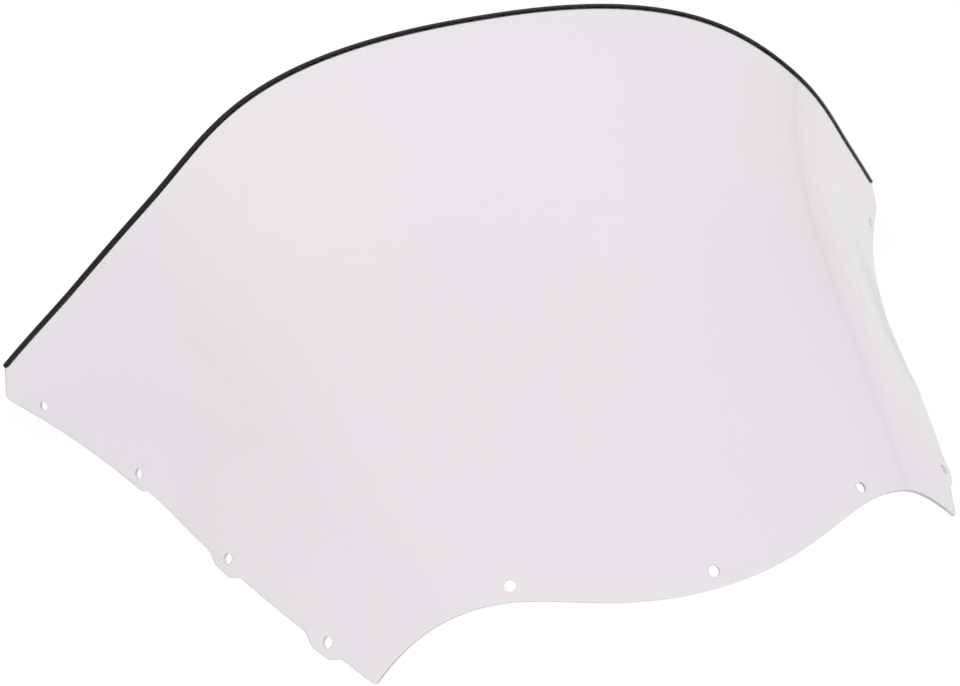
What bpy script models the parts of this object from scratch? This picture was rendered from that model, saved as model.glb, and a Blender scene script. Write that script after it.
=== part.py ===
"""Clear thermoformed windshield screen with a black edge trim.

The screen is one sheet of 2 mm polycarbonate, formed to a hood: a raked front
face that bends over round shoulders into two steep mounting flanges.  The
flanges carry four bolt holes each and the front edge carries three more.  A
small U-section moulding is pushed over the top edge and glued there.

Lengths are metres.  +Z is up, -Y is the direction of travel, and X = 0 is the
plane of symmetry.  The outer surface is worked out from formulas in a design
frame, whose y runs rearwards from the front tips; an empty then sets the sheet
on its flange edges, with the origin at the bottom centre of its box.
"""

import math

import bmesh
import bpy
from mathutils import Matrix, Vector

MM = 0.001

# ---- driving dimensions ---------------------------------------------------------
SHEET = 2.0 * MM                  # thickness of the polycarbonate
HOLE_RADIUS = 3.5 * MM            # clearance holes for 6 mm fasteners

SEAT_PITCH = math.radians(0.73)   # leans the sheet onto its lowest edge points
SEAT_Y = -162.51 * MM             # moves the box's centre to the origin
SEAT_Z = -6.515 * MM              # and its lowest point to the floor

# Centre line of the outer surface, from the front edge to the top edge.
FRONT_Y, FRONT_Z = -40.0 * MM, 57.3 * MM
TOP_Y, TOP_Z = 354.0 * MM, 250.3 * MM
FRONT_SLOPE = 0.805

# Bottom edge of the flange: half width and height, as Bezier values of y / EDGE_SPAN.
EDGE_SPAN = 360.0 * MM
EDGE_X = [200.6 * MM, 270.5 * MM, 275.5 * MM, 372.6 * MM]
EDGE_Z = [14.0 * MM, 16.9 * MM, -6.0 * MM, 11.7 * MM]

# Cross-section; pairs run from the front to the top of the sheet, and lateral
# places are shares of the half width.
FLANGE_SLOPE = (0.741, 2.041)     # fall of the flange per unit of x
FLANGE_START = (0.801, 0.866)     # where the flange begins
CROWN_SHARE = (0.383, 0.104)      # strength of the crown beside the shoulder's
CROWN_WIDTH = 0.541
SHOULDER_AT = 0.785
SHOULDER_WIDTH = 0.136
BEND_WIDTH = 0.03

# Plan outlines of half the sheet, as Bezier control points (x, y).
TOP_EDGE = [(0.0, 352.7), (83.6, 352.7), (191.8, 362.2), (224.4, 330.4),
            (227.5, 289.1), (267.3, 322.6), (364.1, 362.7)]
FRONT_EDGE = [(0.0, -38.9), (106.7, -38.9), (114.6, 18.3), (157.8, -22.3),
              (150.9, 13.4), (200.6, 0.0)]

# How far the cut edge stands below the flange line, against y: a tab round each
# of the two front holes, then one long strip that holds the two rear holes.
EDGE_STEPS = [(0.0, 0.0), (24.5, -1.0), (31.5, 4.2), (42.0, 4.2), (57.0, -1.0),
              (115.5, -0.5), (124.0, 4.8), (136.0, 4.8), (153.0, 0.0),
              (222.0, -2.6), (227.0, 0.5), (340.0, 0.0)]
TIP_RADIUS = 2.5                  # rounding of the front tips
TIP_CLEAR = 6.0                   # the tip's arc ends ahead of this y
BEFORE_TIP = 0.9                  # place on the front edge that sets its run into the tip
CORNER_RADIUS = 4.0
CORNER_CLEAR = 10.0               # the corner's arc starts behind this distance from its foot
CORNER_FOOT = (368.4, 354.9)      # foot of the short rear edge below the trim

# Bolt holes (x, y) of the right half; the first lies on the centre line.
CENTRE_HOLE = (0.0, -31.0)
SIDE_HOLES = [(117.6, -2.3), (218.0, 39.0), (256.7, 133.3), (294.2, 236.0), (344.0, 327.8)]

# Edge trim, a U section pushed over the sheet's top edge.
TRIM_GAP = 0.25 * MM              # clearance between the trim and the sheet
TRIM_WALL = 0.8 * MM
TRIM_LEG = 2.2 * MM               # how far each leg reaches over the sheet
TRIM_CHANNEL = 1.0 * MM           # channel depth beyond the sheet's edge
TRIM_NOSE = 0.8 * MM              # solid nose outside the channel
TIP_CHAMFER = 0.25 * MM
BEAD_THICK = 0.5 * MM
BEAD_WIDTH = 1.2 * MM

# Finishes: base colour, roughness, index of refraction, and share that passes through.
CLEAR_POLYCARBONATE = ((0.93, 0.91, 0.93), 0.03, 1.585, 0.95)
BLACK_PVC = ((0.012, 0.012, 0.013), 0.22, 1.53)
GREY_ADHESIVE = ((0.2, 0.2, 0.2), 0.6, 1.41)

# Mesh density.
CROWN_COLUMNS = 15
CROWN_BIAS = 0.42                 # packs the crown's columns towards the shoulder
FLANGE_COLUMNS = [0.16, 0.42, 0.7, 1.0]   # shares of the way to the trim's end
ROWS = 26
SIDE_MARGIN = 7.0 * MM            # sheet beyond the flange line, cut away later
NOSE_STEPS = 6
EDGE_STATIONS = 5.0               # millimetres of y between points of the cut edge
FILLET_STEPS = 6
HOLE_SIDES = 24
SHARP_ANGLE = math.radians(35)    # edges sharper than this keep a crisp shading
MERGE = 0.02 * MM                 # joins the two halves on the centre line
BISECTIONS = 50
OUTLINE_END = 1.5                 # Bezier parameter that lies past the end of every outline
NORMAL_STEP = 0.05 * MM

# Cutting solids: how far they run past the sheet.
CUTTER_REACH = 110.0 * MM
BORE_DEPTH = 12.0 * MM
CORNER_OVERRUN = 8.0 * MM


# ---- the formed surface ---------------------------------------------------------
def bezier(values, s):
    """Point of a Bezier curve; past its end it runs on along its tangent."""
    points = [Vector(value) for value in values]
    over = max(0.0, s - 1.0)
    last = (points[-1] - points[-2]) * (len(points) - 1)
    s = min(s, 1.0)
    while len(points) > 1:
        points = [a.lerp(b, s) for a, b in zip(points, points[1:])]
    return points[0] + last * over


def edge_x(y):
    return bezier([(x, 0.0) for x in EDGE_X], y / EDGE_SPAN).x


def edge_z(y):
    return bezier([(z, 0.0) for z in EDGE_Z], y / EDGE_SPAN).x


def along(pair, y):
    """Value between the front and the top of the sheet."""
    return pair[0] + (pair[1] - pair[0]) * (y - FRONT_Y) / (TOP_Y - FRONT_Y)


def soft_ramp(t, width):
    """Zero to the left of the origin, t to its right, rounded over width."""
    return (t + math.hypot(t, width)) / 2


def soft_ramp_slope(t, width):
    return (1 + t / math.hypot(t, width)) / 2


def arch(t, crown):
    """Fall of the section from its centre to the share t of the half width."""
    return (crown * (math.hypot(t, CROWN_WIDTH) - CROWN_WIDTH)
            + soft_ramp(t - SHOULDER_AT, SHOULDER_WIDTH)
            + soft_ramp(-t - SHOULDER_AT, SHOULDER_WIDTH))


def arch_slope(t, crown):
    return (crown * t / math.hypot(t, CROWN_WIDTH)
            + soft_ramp_slope(t - SHOULDER_AT, SHOULDER_WIDTH)
            - soft_ramp_slope(-t - SHOULDER_AT, SHOULDER_WIDTH))


def centre_height(y):
    run = TOP_Y - FRONT_Y
    bend = (TOP_Z - FRONT_Z - FRONT_SLOPE * run) / run ** 2
    d = y - FRONT_Y
    return FRONT_Z + FRONT_SLOPE * d + bend * d * d


def height(x, y):
    """Height of the outer surface: an arched body that meets a straight flange."""
    half = edge_x(y)
    t = abs(x) / half
    start = along(FLANGE_START, y)
    slope = along(FLANGE_SLOPE, y)
    crown = along(CROWN_SHARE, y)
    flange = edge_z(y) + slope * (half - abs(x))
    top = centre_height(y)
    foot = edge_z(y) + slope * half * (1 - start)
    rise = arch(start, crown) - arch(0.0, crown)
    if t < start:
        surface = top - (top - foot) * (arch(t, crown) - arch(0.0, crown)) / rise
    else:
        surface = flange
    kink = (top - foot) * arch_slope(start, crown) / rise - slope * half
    off = t - start
    return surface + kink / 2 * (math.hypot(off, BEND_WIDTH) - abs(off))


def surface_point(x, y):
    return Vector((x, y, height(x, y)))


def surface_normal(x, y):
    across = surface_point(x + NORMAL_STEP, y) - surface_point(x - NORMAL_STEP, y)
    back = surface_point(x, y + NORMAL_STEP) - surface_point(x, y - NORMAL_STEP)
    return across.cross(back).normalized()


# ---- the grid on the surface ----------------------------------------------------
def columns():
    """Column places: 0 on the centre line, 1 where the flange starts, 2 at its edge."""
    crown = []
    for i in range(CROWN_COLUMNS + 1):
        s = i / CROWN_COLUMNS
        crown.append(s * (1 + CROWN_BIAS - CROWN_BIAS * s))
    end = top_end()
    flange = [1 + share * (end - 1) for share in FLANGE_COLUMNS]
    return crown + flange + [2.0]


def column_x(place, y):
    half = edge_x(y)
    start = along(FLANGE_START, y)
    if place <= 1:
        return place * start * half
    outer = 1 + SIDE_MARGIN / half
    return (start + (place - 1) * (outer - start)) * half


def outline_y(outline, place):
    """Where a column crosses a plan outline, by bisection."""
    control = [(x * MM, y * MM) for x, y in outline]
    low, high = 0.0, OUTLINE_END
    for _ in range(BISECTIONS):
        middle = (low + high) / 2
        point = bezier(control, middle)
        if point.x < column_x(place, point.y):
            low = middle
        else:
            high = middle
    return point.y


def top_end():
    """Column place of the top edge's end, where the trim stops."""
    x, y = TOP_EDGE[-1][0] * MM, TOP_EDGE[-1][1] * MM
    low, high = 1.0, 2.0
    for _ in range(BISECTIONS):
        middle = (low + high) / 2
        if column_x(middle, y) < x:
            low = middle
        else:
            high = middle
    return middle


# ---- mesh helpers ---------------------------------------------------------------
def material(name, color, roughness, ior, transmission=0.0):
    made = bpy.data.materials.new(name)
    made.use_nodes = True
    shader = made.node_tree.nodes["Principled BSDF"]
    shader.inputs["Base Color"].default_value = (*color, 1.0)
    shader.inputs["Roughness"].default_value = roughness
    shader.inputs["Metallic"].default_value = 0.0
    shader.inputs["Transmission Weight"].default_value = transmission
    shader.inputs["IOR"].default_value = ior
    return made


def add_object(name, mesh_data, parent, finish=None):
    """Object made from a bmesh; one without a finish is a cutter that is never shown."""
    mesh = bpy.data.meshes.new(name)
    mesh_data.to_mesh(mesh)
    mesh_data.free()
    if finish:
        mesh.materials.append(finish)
        mesh.shade_smooth()
        mesh.set_sharp_from_angle(angle=SHARP_ANGLE)
    made = bpy.data.objects.new(name, mesh)
    bpy.context.scene.collection.objects.link(made)
    made.parent = parent
    return made


def mirror(made):
    modifier = made.modifiers.new("Mirror", "MIRROR")
    modifier.use_axis[0] = True
    modifier.use_clip = True
    modifier.merge_threshold = MERGE


def bridge(mesh_data, rings, closed):
    """Quads between each ring of vertices and the next."""
    for first, second in zip(rings, rings[1:]):
        count = len(first)
        for i in range(count if closed else count - 1):
            j = (i + 1) % count
            mesh_data.faces.new((first[i], first[j], second[j], second[i]))


# ---- the sheet ------------------------------------------------------------------
def sheet_grid():
    """Half of the outer surface, facing out, wider than the sheet at the flange."""
    mesh_data = bmesh.new()
    lines = []
    for place in columns():
        front, back = outline_y(FRONT_EDGE, place), outline_y(TOP_EDGE, place)
        line = []
        for row in range(ROWS + 1):
            y = front + (back - front) * row / ROWS
            line.append(mesh_data.verts.new(surface_point(column_x(place, y), y)))
        lines.append(line)
    bridge(mesh_data, lines, closed=False)
    mesh_data.normal_update()
    if sum(face.normal.z for face in mesh_data.faces) < 0:
        bmesh.ops.reverse_faces(mesh_data, faces=mesh_data.faces[:])
    return mesh_data


def edge_step(y):
    """Distance of the cut edge below the flange line at y, in millimetres."""
    for (y0, step0), (y1, step1) in zip(EDGE_STEPS, EDGE_STEPS[1:]):
        if y <= y1:
            s = max(0.0, (y - y0) / (y1 - y0))
            return step0 + (step1 - step0) * s * s * (3 - 2 * s)
    return EDGE_STEPS[-1][1]


def flange_frame(side):
    """Axes of a plane along the flange: rearwards, down the flange, and outwards."""
    tilt = math.atan(sum(FLANGE_SLOPE) / 2)
    down = Vector((side * math.cos(tilt), 0.0, -math.sin(tilt)))
    out = Vector((side * math.sin(tilt), 0.0, math.cos(tilt)))
    return Vector((0.0, 1.0, 0.0)), down, out


def fillet(before, corner, after, radius):
    """Arc of the given radius that rounds a corner of a flat outline."""
    a, b = (before - corner).normalized(), (after - corner).normalized()
    half = a.angle(b) / 2
    centre = corner + (a + b).normalized() * radius / math.sin(half)
    start = corner + a * radius / math.tan(half)
    turn = (start - centre).angle_signed(corner + b * radius / math.tan(half) - centre)
    return [centre + Matrix.Rotation(-turn * i / FILLET_STEPS, 2) @ (start - centre)
            for i in range(FILLET_STEPS + 1)]


def cut_edge():
    """Outline of the flange's cut edge, as (rearwards, down the flange) points."""
    rearwards, down, _ = flange_frame(1)

    def flat(point):
        return Vector((point.dot(rearwards), point.dot(down)))

    def on_edge(y):
        steep = math.atan(along(FLANGE_SLOPE, y))
        fall = edge_step(y / MM) * MM
        return flat(Vector((edge_x(y) + fall * math.cos(steep), y,
                            edge_z(y) - fall * math.sin(steep))))

    def on_sheet(x, y):
        return flat(surface_point(x * MM, y * MM))

    foot, top = on_sheet(*CORNER_FOOT), on_sheet(*TOP_EDGE[-1])
    count = int((CORNER_FOOT[1] - TIP_CLEAR - CORNER_CLEAR) / EDGE_STATIONS)
    stations = [TIP_CLEAR + i * EDGE_STATIONS for i in range(count)]
    stations += [y for y, _ in EDGE_STEPS if y > TIP_CLEAR]
    line = [on_edge(y * MM) for y in sorted(set(stations))]
    before_tip = on_sheet(*bezier(FRONT_EDGE, BEFORE_TIP))
    tip_arc = fillet(before_tip, on_edge(0.0), line[0], TIP_RADIUS * MM)
    corner_arc = fillet(line[-1], foot, top, CORNER_RADIUS * MM)
    beyond = top + (top - foot).normalized() * CORNER_OVERRUN
    return tip_arc + line + corner_arc + [beyond]


def edge_cutter(mesh_data, side):
    """Prism through one flange that removes what lies beyond the cut edge."""
    rearwards, down, out = flange_frame(side)
    outline = cut_edge()
    front, back = -CUTTER_REACH, outline[-1].x + CUTTER_REACH
    lowest = max(point.y for point in outline) + CUTTER_REACH
    outline = ([Vector((front, outline[0].y))] + outline
               + [Vector((back, outline[-1].y)), Vector((back, lowest)), Vector((front, lowest))])
    mean_x, mean_z = sum(EDGE_X) / len(EDGE_X), sum(EDGE_Z) / len(EDGE_Z)
    middle = Vector((side * mean_x, 0.0, mean_z)).dot(out)
    rings = []
    for level in (middle - CUTTER_REACH, middle + CUTTER_REACH):
        rings.append([mesh_data.verts.new(rearwards * p.x + down * p.y + out * level)
                      for p in outline])
    mesh_data.faces.new(rings[0])
    mesh_data.faces.new(rings[1])
    bridge(mesh_data, rings, closed=True)


def hole_cutter(mesh_data, x, y):
    """Cylinder square to the sheet at one bolt hole."""
    normal = surface_normal(x * MM, y * MM)
    centre = surface_point(x * MM, y * MM) - normal * SHEET / 2
    turn = normal.to_track_quat("Z", "Y").to_matrix().to_4x4()
    bmesh.ops.create_cone(mesh_data, cap_ends=True, segments=HOLE_SIDES,
                          radius1=HOLE_RADIUS, radius2=HOLE_RADIUS, depth=BORE_DEPTH,
                          matrix=Matrix.Translation(centre) @ turn)


def add_cutters(parent):
    mesh_data = bmesh.new()
    for side in (-1, 1):
        edge_cutter(mesh_data, side)
        for x, y in SIDE_HOLES:
            hole_cutter(mesh_data, side * x, y)
    hole_cutter(mesh_data, *CENTRE_HOLE)
    bmesh.ops.recalc_face_normals(mesh_data, faces=mesh_data.faces[:])
    cutters = add_object("cutters", mesh_data, parent)
    cutters.hide_render = True
    cutters.display_type = "WIRE"
    return cutters


def add_panel(parent):
    finish = material("clear_polycarbonate", *CLEAR_POLYCARBONATE)
    panel = add_object("screen_panel", sheet_grid(), parent, finish)
    mirror(panel)
    solidify = panel.modifiers.new("Sheet", "SOLIDIFY")
    solidify.thickness = SHEET
    solidify.offset = -1.0
    solidify.use_even_offset = True
    cut = panel.modifiers.new("Cuts", "BOOLEAN")
    cut.operation = "DIFFERENCE"
    cut.object = add_cutters(parent)


# ---- the edge trim --------------------------------------------------------------
def trim_stations():
    """Frames along the sheet's top edge: point, outwards in the sheet, normal."""
    places = columns()[:-1]
    ys = [outline_y(TOP_EDGE, place) for place in places]
    points = [surface_point(column_x(place, y), y) for place, y in zip(places, ys)]
    frames = []
    for i, point in enumerate(points):
        if i == 0:
            tangent = Vector((1.0, 0.0, 0.0))
        elif i == len(points) - 1:
            tangent = (point - points[i - 1]).normalized()
        else:
            tangent = ((point - points[i - 1]).normalized()
                       + (points[i + 1] - point).normalized())
        normal = surface_normal(point.x, point.y)
        frames.append((point, normal.cross(tangent).normalized(), normal))
    return frames


def sweep(name, section, parent, finish):
    """Run a closed section of (outwards, along the normal) points round the top edge."""
    mesh_data = bmesh.new()
    rings = []
    for point, out, normal in trim_stations():
        rings.append([mesh_data.verts.new(point + out * o + normal * n) for o, n in section])
    bridge(mesh_data, rings, closed=True)
    mesh_data.faces.new(rings[-1])
    bmesh.ops.recalc_face_normals(mesh_data, faces=mesh_data.faces[:])
    mirror(add_object(name, mesh_data, parent, finish))


def trim_section():
    """The U: two legs over the sheet, a channel, and a round nose."""
    slot_top, slot_foot = TRIM_GAP, -SHEET - TRIM_GAP
    top, foot = slot_top + TRIM_WALL, slot_foot - TRIM_WALL
    middle, reach = -SHEET / 2, top + SHEET / 2
    nose_depth = TRIM_CHANNEL + TRIM_NOSE
    nose = []
    for i in range(NOSE_STEPS + 1):
        angle = math.pi * i / NOSE_STEPS
        nose.append((nose_depth * math.sin(angle), middle + reach * math.cos(angle)))
    return ([(-TRIM_LEG, slot_top), (-TRIM_LEG, top - TIP_CHAMFER),
             (-TRIM_LEG + TIP_CHAMFER, top)] + nose
            + [(-TRIM_LEG + TIP_CHAMFER, foot), (-TRIM_LEG, foot + TIP_CHAMFER),
               (-TRIM_LEG, slot_foot), (TRIM_CHANNEL, slot_foot), (TRIM_CHANNEL, slot_top)])


def bead_section():
    """The glue between the sheet's edge and the bottom of the channel."""
    near, far = TRIM_GAP, TRIM_GAP + BEAD_THICK
    high, low = -SHEET / 2 + BEAD_WIDTH / 2, -SHEET / 2 - BEAD_WIDTH / 2
    return [(near, high), (far, high), (far, low), (near, low)]


# ---- assembly -------------------------------------------------------------------
def main():
    for old in list(bpy.data.objects):
        bpy.data.objects.remove(old, do_unlink=True)
    seat = bpy.data.objects.new("screen_seat", None)
    bpy.context.scene.collection.objects.link(seat)
    seat.rotation_euler = (SEAT_PITCH, 0.0, 0.0)
    seat.location = (0.0, SEAT_Y, SEAT_Z)
    add_panel(seat)
    sweep("edge_trim", trim_section(), seat, material("black_pvc", *BLACK_PVC))
    sweep("trim_adhesive", bead_section(), seat, material("grey_adhesive", *GREY_ADHESIVE))


main()
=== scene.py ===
"""The looks of the clear windshield screen: fine sheet, edge trim, materials, light and camera.

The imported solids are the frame.  The sheet and the trim are made again here from the
same formulas as the solids, on a fine mesh with rounded edges and true surface
normals, and stand in for the faceted nodes.  Lengths are metres, +Z is up, -Y is the
direction of travel and X = 0 is the plane of symmetry.
"""

import math

import bpy
import numpy as np
from mathutils import Matrix, Vector
from mathutils.geometry import delaunay_2d_cdt


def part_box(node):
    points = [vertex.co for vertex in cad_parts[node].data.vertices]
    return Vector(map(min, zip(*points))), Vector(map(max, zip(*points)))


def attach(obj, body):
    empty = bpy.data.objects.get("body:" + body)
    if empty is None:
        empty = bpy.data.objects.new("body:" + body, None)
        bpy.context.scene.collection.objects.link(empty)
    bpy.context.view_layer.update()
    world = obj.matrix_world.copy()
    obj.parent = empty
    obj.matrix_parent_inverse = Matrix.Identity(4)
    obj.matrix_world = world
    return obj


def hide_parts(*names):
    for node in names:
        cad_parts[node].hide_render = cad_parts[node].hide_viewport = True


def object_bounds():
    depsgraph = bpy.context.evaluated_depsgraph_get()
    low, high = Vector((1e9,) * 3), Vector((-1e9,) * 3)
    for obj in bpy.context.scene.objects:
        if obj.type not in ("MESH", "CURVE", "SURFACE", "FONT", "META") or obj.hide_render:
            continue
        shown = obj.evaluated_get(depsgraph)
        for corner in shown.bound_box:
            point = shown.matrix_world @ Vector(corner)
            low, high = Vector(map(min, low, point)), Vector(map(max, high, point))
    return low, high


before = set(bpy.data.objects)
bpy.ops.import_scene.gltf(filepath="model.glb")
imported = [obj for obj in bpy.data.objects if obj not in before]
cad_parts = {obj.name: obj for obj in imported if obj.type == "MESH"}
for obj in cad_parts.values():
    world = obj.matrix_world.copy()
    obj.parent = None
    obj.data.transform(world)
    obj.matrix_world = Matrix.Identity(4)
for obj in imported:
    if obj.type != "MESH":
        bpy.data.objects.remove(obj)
cad_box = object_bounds()

MM = 0.001

# ---- the sheet's design, as in the solids ---------------------------------------
SHEET = 2.0 * MM
HOLE_RADIUS = 3.5 * MM
SEAT_PITCH = math.radians(0.73)
FRONT_Y, FRONT_Z = -40.0 * MM, 57.3 * MM
TOP_Y, TOP_Z = 354.0 * MM, 250.3 * MM
FRONT_SLOPE = 0.805
EDGE_SPAN = 360.0 * MM
EDGE_X = [200.6, 270.5, 275.5, 372.6]
EDGE_Z = [14.0, 16.9, -6.0, 11.7]
FLANGE_SLOPE = (0.741, 2.041)
FLANGE_START = (0.801, 0.866)
CROWN_SHARE = (0.383, 0.104)
CROWN_WIDTH = 0.541
SHOULDER_AT = 0.785
SHOULDER_WIDTH = 0.136
BEND_WIDTH = 0.03
TOP_EDGE = [(0.0, 352.7), (83.6, 352.7), (191.8, 362.2), (224.4, 330.4),
            (227.5, 289.1), (267.3, 322.6), (364.1, 362.7)]
FRONT_EDGE = [(0.0, -38.9), (106.7, -38.9), (114.6, 18.3), (157.8, -22.3),
              (150.9, 13.4), (200.6, 0.0)]
EDGE_STEPS = [(0.0, 0.0), (24.5, -1.0), (31.5, 4.2), (42.0, 4.2), (57.0, -1.0),
              (115.5, -0.5), (124.0, 4.8), (136.0, 4.8), (153.0, 0.0),
              (222.0, -2.6), (227.0, 0.5), (340.0, 0.0)]
TIP_RADIUS = 2.5
TIP_CLEAR = 6.0
BEFORE_TIP = 0.9
CORNER_RADIUS = 4.0
CORNER_CLEAR = 10.0
CORNER_FOOT = (368.4, 354.9)
HOLES = [(0.0, -31.0), (117.6, -2.3), (218.0, 39.0), (256.7, 133.3), (294.2, 236.0),
         (344.0, 327.8)]
TRIM_GAP = 0.25 * MM
TRIM_WALL = 0.8 * MM
TRIM_LEG = 2.2 * MM
TRIM_CHANNEL = 1.0 * MM
TRIM_NOSE = 0.8 * MM
BEAD_THICK = 0.5 * MM
BEAD_WIDTH = 1.2 * MM

# ---- fineness of the visible meshes ---------------------------------------------
EDGE_ROUND = 0.3 * MM             # rounding of the sheet's cut edges
EDGE_STEP = 1.2 * MM              # spacing of points along the outline
GRID_STEP = 4.5 * MM              # spacing of points inside the outline
HOLE_SIDES = 48
ROUND_STEPS = 3
TRIM_STEP = 2.0 * MM
TIP_STEPS = 8                     # segments of the arcs at the front tip and rear corner
CORNER_STEPS = 12
EDGE_STATION = 1.0                # millimetres of y between points of the cut edge
OUTLINE_POINTS = 600              # points on a plan curve before it is spaced evenly
LIMIT_POINTS = 300
SECTION_POINTS = 400
TRIM_POINTS = 1200
TIP_GAP = 0.3 * MM                # keeps the front curve short of the tip's arc
GRID_FRONT, GRID_BACK = -36 * MM, 362 * MM
GRID_REACH = 1.03                 # grid rows run past the flange line by this factor
RIM_ROOM = 0.7                    # least distance from a rim and from a hole's edge,
HOLE_ROOM = 0.5                   # in shares of GRID_STEP
NORMAL_STEP = 0.05 * MM
SHARP_ANGLE = math.radians(40)

# The flanks are drawn out in plan before triangulation: how much, from which share of
# the half width, and how softly.
SPREAD, SPREAD_FROM, SPREAD_SOFT = 1.1, 0.72, 0.08
CDT_SCALE = 1000
CDT_MERGE = 1e-7
CENTRE_LINE = 1e-9                # points nearer than this lie on the plane of symmetry


# ---- the formed surface ---------------------------------------------------------
def bezier(values, s):
    """Points of a Bezier curve for an array of parameters."""
    s = np.asarray(s, float)[:, None]
    points = [np.broadcast_to(np.atleast_1d(value).astype(float), (len(s), np.size(value)))
              for value in values]
    while len(points) > 1:
        points = [a * (1 - s) + b * s for a, b in zip(points, points[1:])]
    return points[0]


def edge_x(y):
    return bezier(EDGE_X, y / EDGE_SPAN)[:, 0] * MM


def edge_z(y):
    return bezier(EDGE_Z, y / EDGE_SPAN)[:, 0] * MM


def along(pair, y):
    return pair[0] + (pair[1] - pair[0]) * (y - FRONT_Y) / (TOP_Y - FRONT_Y)


def soft_ramp(t, width):
    return (t + np.hypot(t, width)) / 2


def soft_ramp_slope(t, width):
    return (1 + t / np.hypot(t, width)) / 2


def arch(t, crown):
    return (crown * (np.hypot(t, CROWN_WIDTH) - CROWN_WIDTH)
            + soft_ramp(t - SHOULDER_AT, SHOULDER_WIDTH)
            + soft_ramp(-t - SHOULDER_AT, SHOULDER_WIDTH))


def arch_slope(t, crown):
    return (crown * t / np.hypot(t, CROWN_WIDTH)
            + soft_ramp_slope(t - SHOULDER_AT, SHOULDER_WIDTH)
            - soft_ramp_slope(-t - SHOULDER_AT, SHOULDER_WIDTH))


def centre_height(y):
    run = TOP_Y - FRONT_Y
    bend = (TOP_Z - FRONT_Z - FRONT_SLOPE * run) / run ** 2
    d = y - FRONT_Y
    return FRONT_Z + FRONT_SLOPE * d + bend * d * d


def height(x, y):
    """Height of the outer surface: an arched body that meets a straight flange."""
    half = edge_x(y)
    t = np.abs(x) / half
    start, slope, crown = along(FLANGE_START, y), along(FLANGE_SLOPE, y), along(CROWN_SHARE, y)
    top = centre_height(y)
    foot = edge_z(y) + slope * half * (1 - start)
    rise = arch(start, crown) - arch(0.0, crown)
    body = top - (top - foot) * (arch(t, crown) - arch(0.0, crown)) / rise
    flange = edge_z(y) + slope * (half - np.abs(x))
    kink = (top - foot) * arch_slope(start, crown) / rise - slope * half
    off = t - start
    return np.where(off < 0, body, flange) + kink / 2 * (np.hypot(off, BEND_WIDTH) - np.abs(off))


def on_surface(plan):
    """Surface points above plan points (n, 2)."""
    return np.column_stack([plan, height(plan[:, 0], plan[:, 1])])


def unit(vectors):
    return vectors / np.linalg.norm(vectors, axis=-1, keepdims=True)


def normals(plan):
    step = NORMAL_STEP
    x, y = plan[:, 0], plan[:, 1]
    fall_x = (height(x + step, y) - height(x - step, y)) / (2 * step)
    fall_y = (height(x, y + step) - height(x, y - step)) / (2 * step)
    return unit(np.column_stack([-fall_x, -fall_y, np.ones(len(x))]))


# ---- the sheet's outline --------------------------------------------------------
def resample(line, step):
    """Points an even distance apart along a polyline of any dimension."""
    lengths = np.linalg.norm(np.diff(line, axis=0), axis=1)
    reach = np.concatenate([[0.0], np.cumsum(lengths)])
    count = max(2, int(round(reach[-1] / step)) + 1)
    places = np.linspace(0.0, reach[-1], count)
    return np.column_stack([np.interp(places, reach, column) for column in line.T])


def edge_step(y):
    """Distance of the cut edge below the flange line at y, in millimetres."""
    for (y0, step0), (y1, step1) in zip(EDGE_STEPS, EDGE_STEPS[1:]):
        if y <= y1:
            s = max(0.0, (y - y0) / (y1 - y0))
            return step0 + (step1 - step0) * s * s * (3 - 2 * s)
    return EDGE_STEPS[-1][1]


FLANGE_TILT = math.atan(sum(FLANGE_SLOPE) / 2)


def to_flange(points):
    """Surface points as (rearwards, down the flange) in the flange's plane."""
    down = points[:, 0] * math.cos(FLANGE_TILT) - points[:, 2] * math.sin(FLANGE_TILT)
    return np.column_stack([points[:, 1], down])


def from_flange(points):
    """Plan points of flange-plane points, back on the flange's surface."""
    y, down = points[:, 0], points[:, 1]
    slope = along(FLANGE_SLOPE, y)
    level = (edge_z(y) + slope * edge_x(y)) * math.sin(FLANGE_TILT)
    x = (down + level) / (math.cos(FLANGE_TILT) + slope * math.sin(FLANGE_TILT))
    return np.column_stack([x, y])


def fillet(before, corner, after, radius, steps):
    """Arc of the given radius that rounds a corner of a flat outline."""
    before, corner, after = Vector(before), Vector(corner), Vector(after)
    a, b = (before - corner).normalized(), (after - corner).normalized()
    half = a.angle(b) / 2
    centre = corner + (a + b).normalized() * radius / math.sin(half)
    start = corner + a * radius / math.tan(half)
    turn = (start - centre).angle_signed(corner + b * radius / math.tan(half) - centre)
    return np.array([centre + Matrix.Rotation(-turn * i / steps, 2) @ (start - centre)
                     for i in range(steps + 1)])


def cut_edge():
    """Plan points of the right flange's cut edge, from the front tip to the trim's end."""
    y = np.arange(TIP_CLEAR, CORNER_FOOT[1] - CORNER_CLEAR, EDGE_STATION) * MM
    fall = np.array([edge_step(value / MM) for value in y]) * MM
    steep = np.arctan(along(FLANGE_SLOPE, y))
    line = to_flange(np.column_stack([edge_x(y) + fall * np.cos(steep), y,
                                      edge_z(y) - fall * np.sin(steep)]))
    front = bezier(FRONT_EDGE, [BEFORE_TIP, 1.0]) * MM
    before_tip, tip = to_flange(on_surface(front))
    foot, top = to_flange(on_surface(np.array([CORNER_FOOT, TOP_EDGE[-1]]) * MM))
    tip_arc = fillet(before_tip, tip, line[0], TIP_RADIUS * MM, TIP_STEPS)
    corner_arc = fillet(line[-1], foot, top, CORNER_RADIUS * MM, CORNER_STEPS)
    return from_flange(np.vstack([tip_arc, line, corner_arc, top[None]]))


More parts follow.
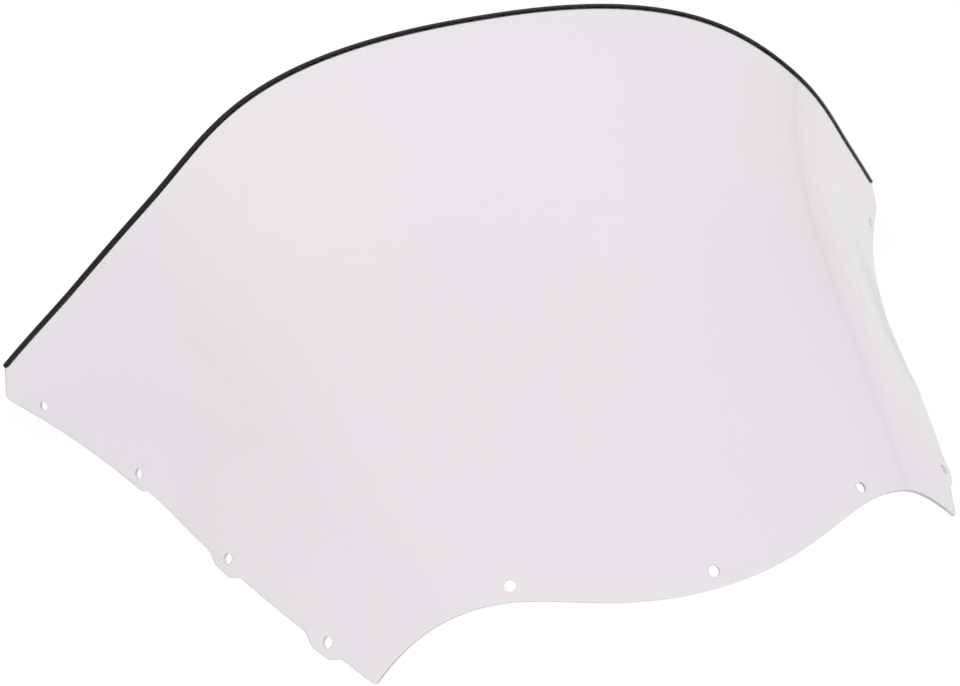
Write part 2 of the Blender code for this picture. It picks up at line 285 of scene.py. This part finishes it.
def outline():
    """Plan points round the whole sheet, anticlockwise, an even distance apart in space."""
    fine = np.linspace(0.0, 1.0, OUTLINE_POINTS)
    side = cut_edge()
    front = bezier(FRONT_EDGE, fine) * MM
    front = front[front[:, 0] < side[0, 0] - TIP_GAP]
    top = bezier(TOP_EDGE, fine)[::-1] * MM
    right = []
    for stretch in (np.vstack([front, side[:1]]), side, top):
        spaced = resample(on_surface(stretch), EDGE_STEP)[:, :2]
        right.append(spaced[:-1])
    right = np.vstack(right + [top[-1:]])
    left = right[1:-1][::-1] * [-1, 1]
    return np.vstack([right, left])


def hole_loop(x, y, radius):
    """Plan points round a bolt hole, clockwise, so that the sheet lies on their left."""
    centre = on_surface(np.array([[x, y]]) * MM)[0]
    normal = normals(np.array([[x, y]]) * MM)[0]
    first = unit(np.cross(normal, [0.0, 1.0, 0.0]))
    second = np.cross(normal, first)
    angles = -2 * math.pi * np.arange(HOLE_SIDES) / HOLE_SIDES
    ring = centre + radius * (np.outer(np.cos(angles), first) + np.outer(np.sin(angles), second))
    return ring[:, :2]


def away(plan):
    """Directions in the sheet, square to a loop and away from the sheet."""
    points = on_surface(plan)
    tangent = np.roll(points, -1, axis=0) - np.roll(points, 1, axis=0)
    return unit(np.cross(tangent, normals(plan)))


# ---- the sheet's mesh -----------------------------------------------------------
def inner_points(side):
    """Plan points inside half the sheet, evenly spaced along each cross-section."""
    edge = to_flange(on_surface(side))
    order = np.argsort(edge[:, 0])
    front_line = bezier(FRONT_EDGE, np.linspace(0, 1, LIMIT_POINTS)) * MM
    top_line = bezier(TOP_EDGE, np.linspace(0, 1, LIMIT_POINTS)) * MM
    found = []
    for row, y in enumerate(np.arange(GRID_FRONT, GRID_BACK, GRID_STEP)):
        half = edge_x(np.array([y]))[0]
        x = np.linspace(0.0, half * GRID_REACH, SECTION_POINTS)
        section = on_surface(np.column_stack([x, np.full(SECTION_POINTS, y)]))
        lengths = np.linalg.norm(np.diff(section, axis=0), axis=1)
        reach = np.concatenate([[0.0], np.cumsum(lengths)])
        first = GRID_STEP * (0.5 if row % 2 else 1.0)
        xs = np.interp(np.arange(first, reach[-1], GRID_STEP), reach, x)
        if row % 2 == 0:
            xs = np.concatenate([[0.0], xs])
        found.append(np.column_stack([xs, np.full(len(xs), y)]))
    plan = np.vstack(found)
    room = RIM_ROOM * GRID_STEP
    flat = to_flange(on_surface(plan))
    inside = flat[:, 1] < np.interp(flat[:, 0], edge[order, 0], edge[order, 1]) - room
    inside &= plan[:, 1] > np.interp(plan[:, 0], front_line[:, 0], front_line[:, 1]) + room
    inside &= plan[:, 1] < np.interp(plan[:, 0], top_line[:, 0], top_line[:, 1]) - room
    return plan[inside]


def spread(plan):
    """Plan points with the steep flanks drawn out, so that triangles come out even."""
    half = edge_x(plan[:, 1])
    x = np.abs(plan[:, 0])
    wide = x + SPREAD * soft_ramp(x - SPREAD_FROM * half, SPREAD_SOFT * half)
    return np.column_stack([np.sign(plan[:, 0]) * wide, plan[:, 1]])


def sheet_mesh():
    """Vertices, normals and faces of the sheet: its broad faces, so many, then its cut edges."""
    loops = [outline()]
    for x, y in HOLES:
        for side in ((1, -1) if x else (1,)):
            loops.append(hole_loop(side * x, y, HOLE_RADIUS + EDGE_ROUND))
    rim = loops[0]
    inset = on_surface(rim) - away(rim) * EDGE_ROUND
    loops[0] = inset[:, :2]
    half = inner_points(cut_edge())
    grid = np.vstack([half, half[half[:, 0] > CENTRE_LINE] * [-1, 1]])
    for x, y in HOLES:
        for side in (1, -1):
            hole = on_surface(np.array([[side * x, y]]) * MM)[0]
            grid = grid[np.linalg.norm(on_surface(grid) - hole, axis=1)
                        > HOLE_RADIUS + HOLE_ROOM * GRID_STEP]
    plan = np.vstack(loops + [grid])
    owner = np.full(len(plan), -1)
    starts, edges, place = [], [], 0
    for number, loop in enumerate(loops):
        count = len(loop)
        owner[place:place + count] = number
        edges += [(place + i, place + (i + 1) % count) for i in range(count)]
        starts.append((place, count))
        place += count
    flat = [Vector(p) for p in spread(plan) * CDT_SCALE]
    _, _, triangles, origins, _, _ = delaunay_2d_cdt(flat, edges, [], 1, CDT_MERGE)
    source = [ids[0] for ids in origins]
    faces = []
    for triangle in triangles:
        corners = [source[i] for i in triangle]
        owners = {owner[i] for i in corners}
        if len(owners) == 1 and owners != {-1} and owners != {0}:
            continue
        faces.append(corners)
    outer, normal = on_surface(plan), normals(plan)
    points = [outer, outer - normal * SHEET]
    shading = [normal, -normal]
    count = len(plan)
    faces += [[i + count for i in reversed(face)] for face in faces]
    broad_faces = len(faces)
    total = 2 * count
    angles = np.radians(np.linspace(0, 90, ROUND_STEPS + 1))
    profile = [(a, -EDGE_ROUND * (1 - math.cos(a))) for a in angles]
    profile += [(a + math.pi / 2, -SHEET + EDGE_ROUND * (1 - math.sin(a))) for a in angles]
    for start, size in starts:
        ring = slice(start, start + size)
        side = away(plan[ring])
        levels = [np.arange(start, start + size)]
        for angle, depth in profile[1:-1]:
            out = EDGE_ROUND * math.sin(angle)
            points.append(outer[ring] + side * out + normal[ring] * depth)
            shading.append(side * math.sin(angle) + normal[ring] * math.cos(angle))
            levels.append(np.arange(total, total + size))
            total += size
        levels.append(np.arange(start + count, start + count + size))
        for upper, lower in zip(levels, levels[1:]):
            for i in range(size):
                j = (i + 1) % size
                faces.append([lower[i], lower[j], upper[j], upper[i]])
    return np.vstack(points), unit(np.vstack(shading)), faces, broad_faces


# ---- the trim -------------------------------------------------------------------
def trim_frames():
    """Points along the sheet's top edge with the directions outwards and normal to it."""
    right = bezier(TOP_EDGE, np.linspace(0.0, 1.0, TRIM_POINTS)) * MM
    plan = np.vstack([right[:0:-1] * [-1, 1], right])
    points = resample(on_surface(plan), TRIM_STEP)
    normal = normals(points[:, :2])
    points[:, 2] = height(points[:, 0], points[:, 1])
    tangent = np.gradient(points, axis=0)
    return points, unit(np.cross(normal, tangent)), normal


def arc(centre, radius_out, radius_up, first, last, steps):
    """Elliptic arc of (outwards, along the normal) points, angles from the normal."""
    angles = np.radians(np.linspace(first, last, steps + 1))
    return [(centre[0] + radius_out * math.sin(a), centre[1] + radius_up * math.cos(a))
            for a in angles]


def trim_section():
    """The U: two legs over the sheet with round tips, a channel and a round nose."""
    slot_top, slot_foot = TRIM_GAP, -SHEET - TRIM_GAP
    top, foot = slot_top + TRIM_WALL, slot_foot - TRIM_WALL
    tip = 0.6 * TRIM_WALL
    middle = -SHEET / 2
    near = -TRIM_LEG + tip
    section = [(-TRIM_LEG, slot_top)]
    section += arc((near, top - tip), tip, tip, -90, 0, 4)
    section += arc((0.0, middle), TRIM_CHANNEL + TRIM_NOSE, top - middle, 0, 180, 20)
    section += arc((near, foot + tip), tip, tip, 180, 270, 4)
    section += [(-TRIM_LEG, slot_foot), (TRIM_CHANNEL, slot_foot), (TRIM_CHANNEL, slot_top)]
    return section


def bead_section():
    near, far = TRIM_GAP, TRIM_GAP + BEAD_THICK
    high, low = -SHEET / 2 + BEAD_WIDTH / 2, -SHEET / 2 - BEAD_WIDTH / 2
    return [(near, high), (far, high), (far, low), (near, low)]


def sweep_mesh(section, shrink):
    """A closed section run along the top edge, shrink points shorter at each end.

    Its faces are wound the wrong way round: they point inward.
    """
    points, out, normal = trim_frames()
    if shrink:
        points, out, normal = (a[shrink:-shrink] for a in (points, out, normal))
    rings = [points + out * o + normal * n for o, n in section]
    vertices = np.stack(rings, axis=1).reshape(-1, 3)
    size, count = len(section), len(points)
    faces = []
    for i in range(count - 1):
        for j in range(size):
            k = (j + 1) % size
            faces.append([i * size + j, i * size + k, (i + 1) * size + k, (i + 1) * size + j])
    faces.append(list(range(size))[::-1])
    faces.append(list(range((count - 1) * size, count * size)))
    return vertices, faces


# ---- from the design frame to the row frame -------------------------------------
def seat_matrix(sheet_points):
    """Pitch onto the lowest edge points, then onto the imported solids' box."""
    turn = Matrix.Rotation(SEAT_PITCH, 4, "X")
    seated = sheet_points @ np.array(turn.to_3x3()).T
    low, high = seated.min(axis=0), seated.max(axis=0)
    solid_low, solid_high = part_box("screen_panel")
    shift = Vector((0.0, (solid_low.y + solid_high.y) / 2 - (low[1] + high[1]) / 2,
                    solid_low.z - low[2]))
    return Matrix.Translation(shift) @ turn


def add_piece(name, vertices, faces, matrix, material, shading=None):
    """A mesh object in the row frame, its faces wound as they are given."""
    turn = np.array(matrix.to_3x3())
    placed = vertices @ turn.T + np.array(matrix.translation)
    mesh = bpy.data.meshes.new(name)
    mesh.from_pydata(placed.tolist(), [], faces)
    mesh.validate()
    mesh.materials.append(material)
    mesh.shade_smooth()
    if shading is None:
        mesh.set_sharp_from_angle(angle=SHARP_ANGLE)
    else:
        mesh.normals_split_custom_set_from_vertices((shading @ turn.T).tolist())
    piece = bpy.data.objects.new(name, mesh)
    bpy.context.scene.collection.objects.link(piece)
    return piece


# ---- materials ------------------------------------------------------------------
def set_stops(ramp, stops):
    """Give a colour ramp its (place, colour) stops, in order."""
    for _ in range(len(stops) - len(ramp.elements)):
        ramp.elements.new(1.0)
    for element, (place, color) in zip(ramp.elements, stops):
        element.position = place
        element.color = color


class Nodes:
    """A material's node tree, with short calls to add and link nodes."""

    def __init__(self, name):
        self.material = bpy.data.materials.new(name)
        self.material.use_nodes = True
        self.tree = self.material.node_tree
        self.shader = self.tree.nodes["Principled BSDF"]
        self.output = self.tree.nodes["Material Output"]

    def add(self, kind, **inputs):
        node = self.tree.nodes.new(kind)
        for key, value in inputs.items():
            self.feed(node.inputs[key.replace("_", " ")], value)
        return node

    def feed(self, socket, value):
        if isinstance(value, bpy.types.NodeSocket):
            self.tree.links.new(value, socket)
        else:
            socket.default_value = value

    def shade(self, **inputs):
        for key, value in inputs.items():
            self.feed(self.shader.inputs[key.replace("_", " ")], value)

    def noise(self, vector, scale, detail=3.0, roughness=0.5):
        return self.add("ShaderNodeTexNoise", Vector=vector, Scale=scale, Detail=detail,
                        Roughness=roughness).outputs["Fac"]

    def ramp(self, value, stops):
        node = self.add("ShaderNodeValToRGB", Fac=value)
        set_stops(node.color_ramp, stops)
        return node.outputs["Color"]

    def spread(self, value, low, high):
        """Map a 0 to 1 value to a range."""
        node = self.add("ShaderNodeMapRange", Value=value)
        node.inputs["To Min"].default_value = low
        node.inputs["To Max"].default_value = high
        return node.outputs["Result"]

    def let_light_through(self, color):
        """Let lamps and bounced light pass straight on, as through a thin clear sheet."""
        path = self.add("ShaderNodeLightPath")
        clear = self.add("ShaderNodeBsdfTransparent", Color=color)
        surface = self.shader.outputs["BSDF"]
        for rays in ("Is Diffuse Ray", "Is Shadow Ray"):
            mix = self.add("ShaderNodeMixShader", Fac=path.outputs[rays])
            self.tree.links.new(surface, mix.inputs[1])
            self.tree.links.new(clear.outputs["BSDF"], mix.inputs[2])
            surface = mix.outputs["Shader"]
        self.tree.links.new(surface, self.output.inputs["Surface"])


def clear_polycarbonate():
    nodes = Nodes("clear_polycarbonate")
    place = nodes.add("ShaderNodeTexCoord").outputs["Object"]
    cloud = nodes.noise(place, 3.0, 1.0)
    tint = nodes.ramp(cloud, [(0.35, (0.80, 0.748, 0.79, 1.0)), (0.65, (0.78, 0.738, 0.78, 1.0))])
    haze = nodes.noise(place, 45.0, 4.0, 0.6)
    waves = nodes.noise(place, 6.0, 1.0)
    bump = nodes.add("ShaderNodeBump", Strength=0.05, Distance=0.002, Height=waves)
    nodes.shade(Base_Color=tint, Roughness=nodes.spread(haze, 0.0, 0.035), Metallic=0.0,
                IOR=1.585, Specular_IOR_Level=0.42, Transmission_Weight=1.0,
                Normal=bump.outputs["Normal"])
    nodes.let_light_through((0.995, 0.993, 0.995, 1.0))
    return nodes.material


def cut_polycarbonate():
    """The sawn and lightly polished edge of the sheet, which scatters light."""
    nodes = Nodes("cut_polycarbonate")
    place = nodes.add("ShaderNodeTexCoord").outputs["Object"]
    saw = nodes.noise(place, 1500.0, 3.0, 0.6)
    tint = nodes.ramp(saw, [(0.3, (0.62, 0.60, 0.62, 1.0)), (0.7, (0.72, 0.70, 0.72, 1.0))])
    bump = nodes.add("ShaderNodeBump", Strength=0.2, Distance=0.0001, Height=saw)
    nodes.shade(Base_Color=tint, Roughness=nodes.spread(saw, 0.35, 0.5), IOR=1.585,
                Transmission_Weight=0.4, Normal=bump.outputs["Normal"])
    nodes.let_light_through((0.97, 0.96, 0.97, 1.0))
    return nodes.material


def black_pvc():
    nodes = Nodes("black_pvc")
    place = nodes.add("ShaderNodeTexCoord").outputs["Object"]
    grain = nodes.noise(place, 900.0, 4.0, 0.6)
    wear = nodes.noise(place, 60.0, 3.0)
    tint = nodes.ramp(wear, [(0.4, (0.006, 0.0055, 0.006, 1.0)), (0.7, (0.011, 0.010, 0.011, 1.0))])
    bump = nodes.add("ShaderNodeBump", Strength=0.06, Distance=0.0001, Height=grain)
    nodes.shade(Base_Color=tint, Roughness=nodes.spread(wear, 0.08, 0.16), IOR=1.53,
                Specular_IOR_Level=0.22, Normal=bump.outputs["Normal"])
    return nodes.material


def grey_adhesive():
    nodes = Nodes("grey_adhesive")
    place = nodes.add("ShaderNodeTexCoord").outputs["Object"]
    grain = nodes.noise(place, 700.0)
    tint = nodes.ramp(grain, [(0.3, (0.16, 0.16, 0.16, 1.0)), (0.7, (0.24, 0.24, 0.24, 1.0))])
    nodes.shade(Base_Color=tint, Roughness=nodes.spread(grain, 0.5, 0.8))
    return nodes.material


def pale_floor():
    """White paper, a little mottled, with a fine tooth."""
    nodes = Nodes("pale_floor")
    place = nodes.add("ShaderNodeTexCoord").outputs["Object"]
    cloud = nodes.noise(place, 2.0, 2.0)
    tooth = nodes.noise(place, 400.0, 2.0)
    paper = nodes.ramp(cloud, [(0.3, (0.90, 0.90, 0.90, 1.0)), (0.7, (0.91, 0.91, 0.91, 1.0))])
    bump = nodes.add("ShaderNodeBump", Strength=0.1, Distance=0.0001, Height=tooth)
    nodes.shade(Base_Color=paper, Roughness=0.7, Specular_IOR_Level=0.2,
                Normal=bump.outputs["Normal"])
    return nodes.material


# ---- the studio -----------------------------------------------------------------
# Level of the white dome against the sine of elevation.  Reflections see it below the
# horizon too, because the floor is left out of them.
DOME = [(-0.4, 0.85), (-0.12, 0.74), (0.0, 0.62), (0.12, 0.74), (0.25, 0.8), (0.9, 1.2)]
FLOOR_HALF = 60.0                  # half the floor's side, so that its rim is far off
SOFTBOX = (2.6, 2.6)
SOFTBOX_POWER = 8.5
SOFTBOX_PLACE = (0.2, 0.1, 2.8)
CAMERA_AZIMUTH, CAMERA_ELEVATION = math.radians(20.99), math.radians(36.64)
CAMERA_PLACE = (-0.3582, -0.5811, 0.7086)
CAMERA_LENS, CAMERA_SENSOR = 57.49, 36.0    # millimetres


def add_floor(level):
    mesh = bpy.data.meshes.new("floor")
    corners = [(x * FLOOR_HALF, y * FLOOR_HALF, 0) for x, y in ((-1, -1), (1, -1), (1, 1), (-1, 1))]
    mesh.from_pydata(corners, [], [(0, 1, 2, 3)])
    mesh.materials.append(pale_floor())
    floor = bpy.data.objects.new("floor", mesh)
    floor.location = (0.0, 0.0, level)
    floor.visible_glossy = False
    bpy.context.scene.collection.objects.link(floor)


def add_studio():
    """A white dome, brighter overhead than at the horizon, and a diffuse lamp above."""
    world = bpy.data.worlds.new("studio")
    world.use_nodes = True
    tree = world.node_tree
    place = tree.nodes.new("ShaderNodeTexCoord")
    split = tree.nodes.new("ShaderNodeSeparateXYZ")
    dome = tree.nodes.new("ShaderNodeValToRGB")
    tree.links.new(place.outputs["Generated"], split.inputs["Vector"])
    share = tree.nodes.new("ShaderNodeMapRange")
    share.inputs["From Min"].default_value = -1.0
    tree.links.new(split.outputs["Z"], share.inputs["Value"])
    tree.links.new(share.outputs["Result"], dome.inputs["Fac"])
    tree.links.new(dome.outputs["Color"], tree.nodes["Background"].inputs["Color"])
    set_stops(dome.color_ramp, [((sine + 1) / 2, (level, level, level, 1.0))
                                for sine, level in DOME])
    bpy.context.scene.world = world
    data = bpy.data.lights.new("softbox", "AREA")
    data.shape = "RECTANGLE"
    data.size, data.size_y = SOFTBOX
    data.energy = SOFTBOX_POWER
    softbox = bpy.data.objects.new("softbox", data)
    softbox.location = SOFTBOX_PLACE
    softbox.visible_glossy = False
    softbox.visible_transmission = False
    bpy.context.scene.collection.objects.link(softbox)


def add_camera(seat):
    """The camera, placed in the design frame and carried along by the seat."""
    azimuth, elevation = CAMERA_AZIMUTH, CAMERA_ELEVATION
    view = Vector((math.sin(azimuth) * math.cos(elevation),
                   math.cos(azimuth) * math.cos(elevation), -math.sin(elevation)))
    right = Vector((math.cos(azimuth), -math.sin(azimuth), 0.0))
    up = right.cross(view)
    axes = Matrix((right, up, -view)).transposed().to_4x4()
    data = bpy.data.cameras.new("camera")
    data.sensor_width = CAMERA_SENSOR
    data.sensor_fit = "HORIZONTAL"
    data.lens = CAMERA_LENS
    camera = bpy.data.objects.new("camera", data)
    camera.matrix_world = seat @ Matrix.Translation(CAMERA_PLACE) @ axes
    bpy.context.scene.collection.objects.link(camera)
    bpy.context.scene.camera = camera


# ---- the scene ------------------------------------------------------------------
def add_object_pieces():
    points, shading, faces, broad_faces = sheet_mesh()
    seat = seat_matrix(points)
    panel = add_piece("clear_screen", points, faces, seat, clear_polycarbonate(), shading)
    panel.data.materials.append(cut_polycarbonate())
    for polygon in panel.data.polygons[broad_faces:]:
        polygon.material_index = 1
    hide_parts("screen_panel")
    trim = add_piece("top_edge_trim", *sweep_mesh(trim_section(), 0), seat, black_pvc())
    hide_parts("edge_trim")
    bead = add_piece("trim_glue", *sweep_mesh(bead_section(), 1), seat, grey_adhesive())
    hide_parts("trim_adhesive")
    for piece in (panel, trim, bead):
        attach(piece, "root")
    return seat


seat = add_object_pieces()
add_floor(cad_box[0][2])
add_studio()
add_camera(seat)
bpy.context.scene.view_settings.view_transform = "Standard"
